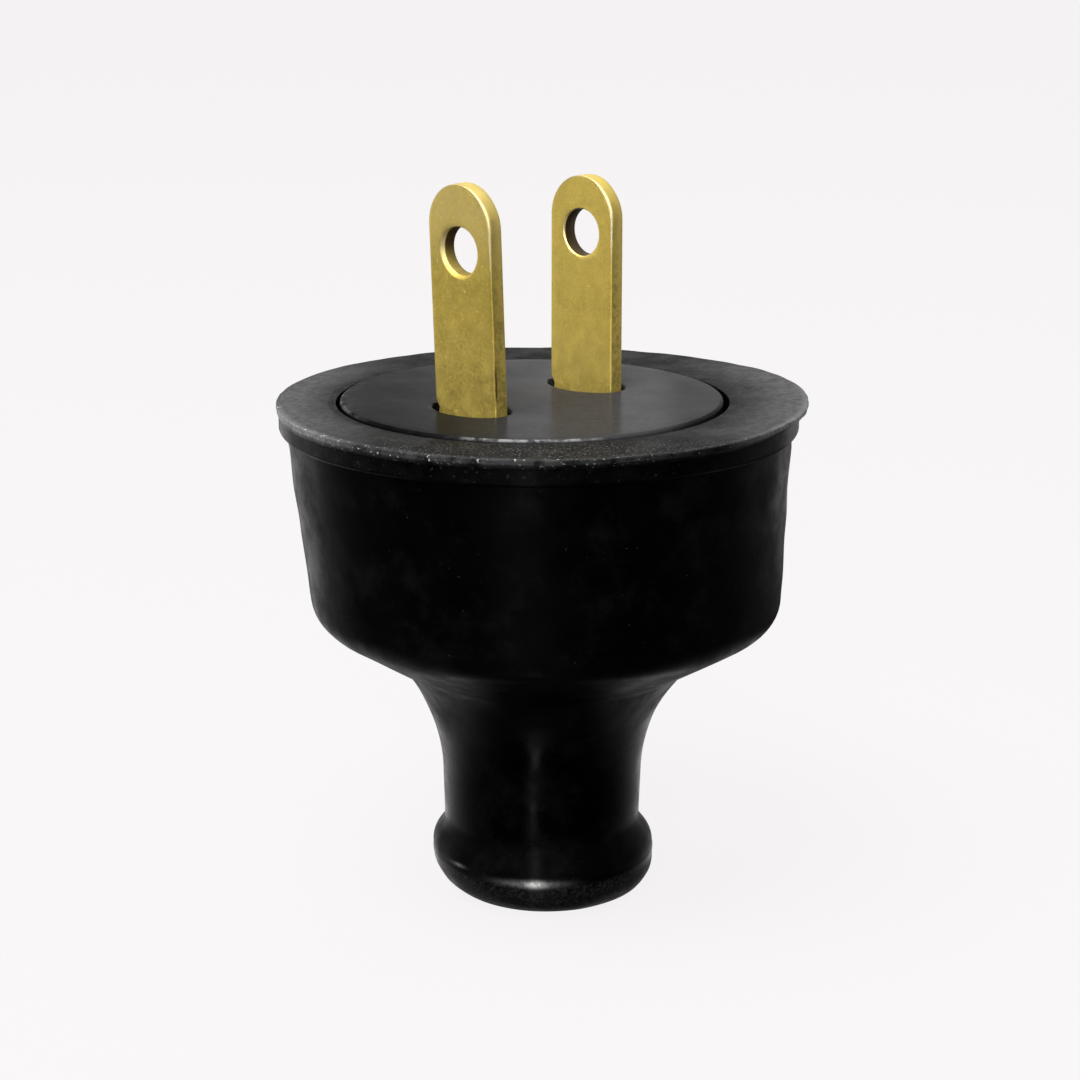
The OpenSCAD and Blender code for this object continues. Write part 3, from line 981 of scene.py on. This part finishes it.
RUBBER_DARK = (0.0004, 0.0004, 0.0004)
RUBBER_CLOUD = (0.0042, 0.0042, 0.0042)
FACE_DARK = (0.007, 0.007, 0.0071)
FACE_LIGHT = (0.015, 0.015, 0.0152)
DUST_AND_REFLECTION_GREY = (0.16, 0.16, 0.161)
SCUFF_GREY = (0.055, 0.055, 0.056)
SPECK_PALE = (0.42, 0.42, 0.41)
FINE_GREY = (0.09, 0.09, 0.088)
GRIT_GREY = (0.13, 0.13, 0.129)
HIGHLIGHT_AND_RUBBED_PALE = (0.8, 0.8, 0.79)
MOULDING_DARK = (0.003, 0.003, 0.0032)
MOULDING_LIGHT = (0.006, 0.006, 0.0064)
MOULDING_DUST_AND_SHEEN = (0.0435, 0.0435, 0.0457)
MOULDING_RIM_HIGHLIGHT = (0.3, 0.3, 0.3)
BLADE_LIGHT = (0.83, 0.63, 0.125)
BLADE_DARK = (0.62, 0.46, 0.082)
TERMINAL_LIGHT = (0.62, 0.47, 0.17)
TERMINAL_DARK = (0.48, 0.36, 0.11)
# Bright brass over the light one, by channel, and tarnished grain and mottle over the dark one
BRIGHTER = (1.25, 1.25, 1.6)
GRAIN_DARKER = 0.62
MOTTLE_DARKER = 0.74
STAIN_BROWN = (0.3, 0.16, 0.045)
EDGE_HIGHLIGHT_PALE = (0.95, 0.84, 0.58)
PIT_BROWN = (0.47, 0.34, 0.065)
TIP_PALE = (0.95, 0.76, 0.3)
HOLE_SHADE_DARK = (0.04, 0.018, 0.016)
EDGE_SHADE_BROWN = (0.24, 0.18, 0.055)
CORNER_LINE_BROWN = (0.2, 0.125, 0.035)


def rubber_material():
    paint = Paint("worn_rubber")
    top = paint.value("top")
    wear = paint.value("wear")
    clouds = paint.patchy(4.0, (0.46, 0.72), detail=6.0, roughness=0.7)
    colour = paint.mix(clouds, RUBBER_DARK, RUBBER_CLOUD)
    face = paint.mix(paint.patchy(1.2, (0.3, 0.7), detail=4.0, roughness=0.6), FACE_DARK, FACE_LIGHT)
    colour = paint.mix(top, colour, face)
    # Dust at the face's left and right, and grey under the bead, a painted reflection of the floor
    dust_film_and_sheen = paint.patchy(0.5, (0.3, 0.7), (0.35, 0.7), detail=4.0, roughness=0.65)
    colour = paint.mix(paint.times(paint.value("dusty"), dust_film_and_sheen), colour, DUST_AND_REFLECTION_GREY)
    grey = paint.patchy(0.3, (0.4, 0.72), (0.02, 0.16), detail=4.0, roughness=0.7)
    colour = paint.mix(paint.times(paint.value("below"), grey), colour, DUST_AND_REFLECTION_GREY)
    # The worn lip, with pale specks
    scuff = paint.patchy(1.4, (0.35, 0.65), (0.1, 0.9), detail=4.0, roughness=0.65)
    colour = paint.mix(paint.times(wear, scuff), colour, SCUFF_GREY)
    colour = paint.mix(paint.times(wear, paint.patchy(0.3, (0.64, 0.7))), colour, SPECK_PALE)
    # Fine specks all over, grit on the face, most of it in front, and the painted highlights with the lip's
    # rubbed ends
    fine = paint.patchy(0.24, (0.77, 0.81), detail=1.0)
    colour = paint.mix(paint.times(fine, 0.3), colour, FINE_GREY)
    in_front = paint.spread(paint.place(AWAY), (-0.018, -0.013), (1.0, 0.3))
    colour = paint.mix(paint.times(top, paint.patchy(0.2, (0.57, 0.7)), in_front), colour, GRIT_GREY)
    broken = paint.patchy(0.35, (0.25, 0.6), (0.45, 1.0), detail=3.0, roughness=0.6)
    colour = paint.mix(paint.times(paint.value("highlight_and_rubbing"), broken), colour, HIGHLIGHT_AND_RUBBED_PALE)
    gloss = paint.patchy(3.2, (0.32, 0.68), (0.33, 0.53), detail=6.0, roughness=0.65)
    gloss = paint.less(gloss, paint.times(paint.value("polish"), 0.18))
    gloss = paint.plus(gloss, paint.times(top, 0.15))
    normal = paint.bump(paint.noise(0.35, 3.0, 0.6), depth=0.012, strength=0.6)
    normal = paint.bump(paint.noise(1.6, 3.0), depth=0.03, strength=0.5, under=normal)
    paint.set(Base_Color=colour, Roughness=gloss, Normal=normal, Specular_IOR_Level=0.04)
    return paint.material


def moulding_material():
    paint = Paint("black_moulding")
    colour = paint.mix(paint.patchy(1.1, (0.35, 0.75), detail=4.0), MOULDING_DARK, MOULDING_LIGHT)
    # A grey film, from the middle nearly to the right edge: partly dust, partly a painted reflection of the
    # bright surroundings
    across = paint.place(RIGHT)
    dust_film_and_sheen = paint.times(
        paint.spread(across, (-0.0105, 0.0025)),
        paint.spread(across, (0.0085, 0.0115), (1.0, 0.3)),
        paint.patchy(0.5, (0.3, 0.7), (0.75, 1.0), detail=5.0, roughness=0.7),
    )
    colour = paint.mix(dust_film_and_sheen, colour, MOULDING_DUST_AND_SHEEN)
    # A broken painted highlight along the rim
    broken = paint.patchy(0.9, (0.36, 0.6), (0.0, 0.8), detail=4.0, roughness=0.6)
    colour = paint.mix(paint.times(paint.value("rim"), broken), colour, MOULDING_RIM_HIGHLIGHT)
    gloss = paint.patchy(5.0, (0.3, 0.7), (0.2, 0.28), detail=3.0)
    normal = paint.bump(paint.noise(0.5, 3.0), depth=0.003, strength=0.5)
    normal = paint.bump(paint.noise(5.0, 2.0), depth=0.03, strength=0.5, under=normal)
    paint.set(Base_Color=colour, Roughness=gloss, Normal=normal, Specular_IOR_Level=0.006)
    return paint.material


def brass_material(name, light, dark, worked):
    """Dull brass. Worked brass also shows the marks of a blade."""
    paint = Paint(name)
    bright = tuple(min(1.0, k * c) for k, c in zip(BRIGHTER, light))
    grain = paint.noise(0.22, 3.0, 0.7)
    mottle = paint.patchy(0.75, (0.36, 0.66), detail=5.0, roughness=0.7)
    colour = paint.mix(paint.patchy(1.6, (0.3, 0.7), detail=6.0, roughness=0.7), dark, light)
    tarnish = tuple(GRAIN_DARKER * c for c in dark)
    colour = paint.mix(paint.spread(grain, (0.36, 0.62), (0.4, 0.0)), colour, tarnish)
    colour = paint.mix(paint.times(mottle, 0.5), colour, tuple(MOTTLE_DARKER * c for c in dark))
    glints = paint.patchy(0.28, (0.66, 0.74), (0.0, 0.8))
    if worked:
        height = paint.value("height")
        clean = paint.value("clean")
        deep = paint.value("deep")
        # Brighter near the insert, on the cleaner blade and on the flanks, which are stained
        colour = paint.mix(paint.spread(height, (1.0, 9.0), (0.55, 0.1)), colour, bright)
        colour = paint.mix(paint.times(clean, 0.3), colour, bright)
        flank = paint.times(paint.spread(deep, (0.08, 0.25)), paint.spread(deep, (1.05, 1.22), (1.0, 0.0)))
        colour = paint.mix(paint.times(flank, 0.6), colour, bright)
        stain = paint.patchy(0.5, (0.42, 0.65), (0.0, 0.5), detail=4.0, roughness=0.7)
        stain = paint.times(flank, stain, paint.spread(height, (6.0, 13.0), (1.0, 0.2)))
        colour = paint.mix(stain, colour, STAIN_BROWN)
        # Painted highlight on the struck edges near the tip and on the hole's chamfer
        colour = paint.mix(paint.times(paint.value("edge"), 0.5), colour, EDGE_HIGHLIGHT_PALE)
        # Pits in patches, fewer higher up and on the cleaner blade
        pits = paint.times(
            paint.patchy(0.3, (0.38, 0.62), (0.7, 0.0), detail=5.0, roughness=0.85),
            paint.patchy(2.2, (0.38, 0.62), (0.25, 1.0), detail=3.0, roughness=0.6),
            paint.spread(height, (6.0, 10.0), (1.0, 0.4)),
            paint.spread(clean, (0.0, 1.0), (1.0, 0.5)),
        )
        colour = paint.mix(pits, colour, PIT_BROWN)
        # A pale tip on the other blade, and bright specks where a blade enters the insert
        tip = paint.times(
            paint.spread(height, (10.0, 15.0), (0.0, 0.5)),
            paint.spread(mottle, (0.0, 1.0), (0.6, 1.0)),
            paint.less(1.0, clean),
        )
        colour = paint.mix(tip, colour, TIP_PALE)
        burr = paint.times(paint.spread(height, (0.1, 1.1), (0.8, 0.0)), paint.patchy(0.4, (0.6, 0.68)))
        glints = paint.math("MAXIMUM", glints, burr)
    colour = paint.mix(glints, colour, bright)
    if worked:
        # Painted shade on the holes' walls
        colour = paint.mix(paint.times(paint.value("bore"), 0.93), colour, HOLE_SHADE_DARK)
        # Painted shade along the struck face's left edges
        colour = paint.mix(paint.times(paint.value("border"), 0.7), colour, EDGE_SHADE_BROWN)
        # A dark line along the lower part of the front blade's right corner
        line = paint.times(paint.spread(deep, (0.03, 0.08)), paint.spread(deep, (0.18, 0.28), (1.0, 0.0)))
        colour = paint.mix(paint.times(paint.value("seam"), line), colour, CORNER_LINE_BROWN)
    gloss = paint.patchy(0.9, (0.3, 0.7), (0.46, 0.58), detail=4.0)
    streak = paint.noise(0.3, 3.0, 0.6, paint.stretched(1.0, 1.0, 0.07))
    normal = paint.bump(streak, depth=0.008, strength=0.5)
    normal = paint.bump(grain, depth=0.012, strength=0.6, under=normal)
    paint.set(Base_Color=colour, Roughness=gloss, Normal=normal, Metallic=0.8)
    return paint.material


def dress(piece, material):
    piece.data.materials.clear()
    piece.data.materials.append(material)


rubber = rubber_material()
moulding = moulding_material()
blade_brass = brass_material("blade_brass", BLADE_LIGHT, BLADE_DARK, worked=True)
terminal_brass = brass_material("terminal_brass", TERMINAL_LIGHT, TERMINAL_DARK, worked=False)

body = rubber_skin()
dress(body, rubber)
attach(body, "root")
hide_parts("rubber_body")

disc = insert_piece()
dress(disc, moulding)
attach(disc, "root")
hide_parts("insert_disc")

for name, node, length, lean, side, hole_rim in (
    ("front_blade_brass", "front_blade", FRONT_L, math.radians(LEAN), -1, FRONT_RIM),
    ("rear_blade_brass", "rear_blade", REAR_L, 0.0, 1, REAR_RIM),
):
    blade = blade_mesh(name, length, lean, side, hole_rim)
    dress(blade, blade_brass)
    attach(blade, "root")
    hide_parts(node)

for node in ("front_bushing", "rear_bushing", "front_screw", "rear_screw"):
    dress(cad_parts[node], terminal_brass)


# Floor, light and camera

PALE = (0.930, 0.913, 0.913, 1.0)
STUDIO_WHITE = (1.0, 0.99, 0.985, 1.0)
# The floor: half its width in metres, its drop below the plug, its glow and the share that takes shadow
FLOOR_HALF = 6.0
FLOOR_DROP = 0.02
FLOOR_GLOW = (0.921, 0.904, 0.904, 1.0)
FLOOR_MATTE = 0.05
FLAG_DARK = (0.02, 0.02, 0.02, 1.0)
FLAG_STEPS = 24
PANEL = (AWAY * 0.86 + RIGHT * 0.42 + UP * 0.3).normalized()
CARD = (AWAY * 0.97 + RIGHT * 0.04 + UP * 0.23).normalized()
# Level with the floor and at right angles to the strip's direction, which is to the camera's left
STRIP_LEFT = math.radians(10)
BESIDE_STRIP = RIGHT * math.cos(STRIP_LEFT) - AWAY * math.sin(STRIP_LEFT)
# The camera, in millimetres and radians, with its focal length in pixels of the photograph's width
PHOTO_WIDTH = 1080
FOCAL = 2606
SENSOR = 36
PITCH = 0.267
STAND_OFF = 200
CAMERA_ASIDE = -0.17
CAMERA_H = 83.78
# The lamps are turned to this height, about the plug's middle
AIM_H = 25


def make_floor():
    half = FLOOR_HALF
    mesh = bpy.data.meshes.new("floor")
    corners = [(-half, -half, 0), (half, -half, 0), (half, half, 0), (-half, half, 0)]
    mesh.from_pydata(corners, [], [(0, 1, 2, 3)])
    floor = in_scene("floor", mesh)
    floor.location.z = -FLOOR_DROP * MM
    material = bpy.data.materials.new("pale_floor")
    material.use_nodes = True
    material.node_tree.nodes.clear()
    nodes = Nodes(material.node_tree)
    glow = nodes.node("ShaderNodeEmission", Color=FLOOR_GLOW).outputs[0]
    matte = nodes.node("ShaderNodeBsdfDiffuse", Color=PALE).outputs[0]
    both = nodes.node("ShaderNodeMixShader", FLOOR_MATTE, glow, matte).outputs[0]
    nodes.node("ShaderNodeOutputMaterial", Surface=both)
    mesh.materials.append(material)
    floor.visible_glossy = False
    floor.visible_diffuse = False


def make_flag(name, first, last, inner, outer):
    """A dark card on the floor, seen in reflections only: part of a ring, in degrees left of straight behind."""
    verts, faces = [], []
    for k in range(FLAG_STEPS + 1):
        a = math.radians(first + (last - first) * k / FLAG_STEPS)
        out = AWAY * math.cos(a) - RIGHT * math.sin(a)
        verts += [out * inner * MM, out * outer * MM]
    for k in range(FLAG_STEPS):
        faces.append((2 * k, 2 * k + 1, 2 * k + 3, 2 * k + 2))
    mesh = bpy.data.meshes.new(name)
    mesh.from_pydata(verts, [], faces)
    flag = in_scene(name, mesh)
    card = Paint(name)
    card.set(Base_Color=FLAG_DARK, Roughness=0.9)
    mesh.materials.append(card.material)
    flag.visible_camera = False
    flag.visible_diffuse = False
    flag.visible_shadow = False


def make_world():
    """Soft studio light: pale behind, above and at the sides, and dim towards the camera."""
    world = bpy.data.worlds.new("studio")
    bpy.context.scene.world = world
    world.use_nodes = True
    world.node_tree.nodes.clear()
    sky = Nodes(world.node_tree, "Generated")
    back = sky.place(AWAY)
    right = sky.place(RIGHT)
    up = sky.place(UP)
    sideways = sky.math("ABSOLUTE", right)
    # Brightest behind and at the left, and dark straight below
    level = sky.times(sky.spread(right, (-1.0, 1.0), (0.9, 0.34)), sky.spread(back, (-0.6, 0.7), (0.03, 1.15)))
    level = sky.plus(level, sky.spread(back, (0.1, 1.0), (0.0, 0.5)))
    level = sky.times(level, sky.spread(up, (-1.0, -0.75), (0.05, 1.0)))
    # Dim in a gap straight behind, below the horizon, and all along the back above it
    gap = sky.times(
        sky.spread(sideways, (0.06, 0.3), (0.75, 0.0)),
        sky.spread(back, (0.5, 0.8)),
        sky.spread(up, (-0.1, 0.02), (1.0, 0.0)),
    )
    above = sky.times(sky.spread(up, (-0.05, 0.15), (0.0, 0.8)), sky.spread(back, (0.4, 0.8)))
    level = sky.times(level, sky.less(1.0, sky.plus(gap, above)))
    # Light from overhead, a pale panel behind and to the right, and a small card straight behind
    level = sky.plus(level, sky.spread(up, (0.55, 0.98), (0.0, 0.5)))
    level = sky.plus(level, sky.spread(sky.place(PANEL), (0.8, 0.98), (0.0, 0.36)))
    level = sky.plus(level, sky.spread(sky.place(CARD), (0.985, 0.998), (0.0, 0.85)))
    # A narrow upright strip beside the camera
    beside = sky.place(BESIDE_STRIP)
    strip = sky.times(
        sky.spread(beside, (-0.05, 0.0)),
        sky.spread(beside, (0.0, 0.05), (1.0, 0.0)),
        sky.spread(back, (-0.1, -0.3)),
        sky.spread(up, (0.95, 0.6), (0.0, 9.0)),
    )
    studio = sky.node("ShaderNodeBackground", Color=STUDIO_WHITE, Strength=sky.plus(level, strip))
    pale = sky.node("ShaderNodeBackground", Color=PALE, Strength=1.0)
    seen = sky.node("ShaderNodeLightPath").outputs["Is Camera Ray"]
    both = sky.node("ShaderNodeMixShader", seen, studio.outputs[0], pale.outputs[0])
    sky.node("ShaderNodeOutputWorld", Surface=both.outputs[0])


def aim(thing, direction):
    thing.rotation_mode = "QUATERNION"
    thing.rotation_quaternion = direction.to_track_quat("-Z", "Y")


def make_camera():
    data = bpy.data.cameras.new("camera")
    data.sensor_width = SENSOR
    data.lens = SENSOR * (FOCAL / PHOTO_WIDTH)
    data.clip_start = 0.01
    camera = in_scene("camera", data)
    camera.location = (AWAY * -STAND_OFF + RIGHT * CAMERA_ASIDE + UP * CAMERA_H) * MM
    aim(camera, AWAY * math.cos(PITCH) - UP * math.sin(PITCH))
    bpy.context.scene.camera = camera


def make_lamp(name, place, width, height, watts):
    """A soft rectangular lamp at a place in millimetres, turned to the plug's middle."""
    data = bpy.data.lights.new(name, "AREA")
    data.shape = "RECTANGLE"
    data.size = width * MM
    data.size_y = height * MM
    data.energy = watts
    lamp = in_scene(name, data)
    lamp.location = place * MM
    aim(lamp, UP * AIM_H - place)
    lamp.visible_camera = False


def towards(left, rise, distance):
    """A place seen from the plug: degrees to the left of the camera, degrees up, and millimetres away."""
    a, e = math.radians(left), math.radians(rise)
    flat = AWAY * -math.cos(a) - RIGHT * math.sin(a)
    return (flat * math.cos(e) + UP * math.sin(e)) * distance + UP * AIM_H


make_floor()
make_flag("left_flag", first=64, last=120, inner=45, outer=120)
make_flag("right_flag", first=-115, last=-4, inner=48, outer=110)
make_world()
make_lamp("front_lamp", towards(left=6, rise=24, distance=500), width=160, height=60, watts=1.1)
make_lamp("softbox", towards(left=40, rise=66, distance=600), width=350, height=350, watts=4.0)
make_camera()
bpy.context.scene.view_settings.view_transform = "Standard"

bpy.context.view_layer.update()
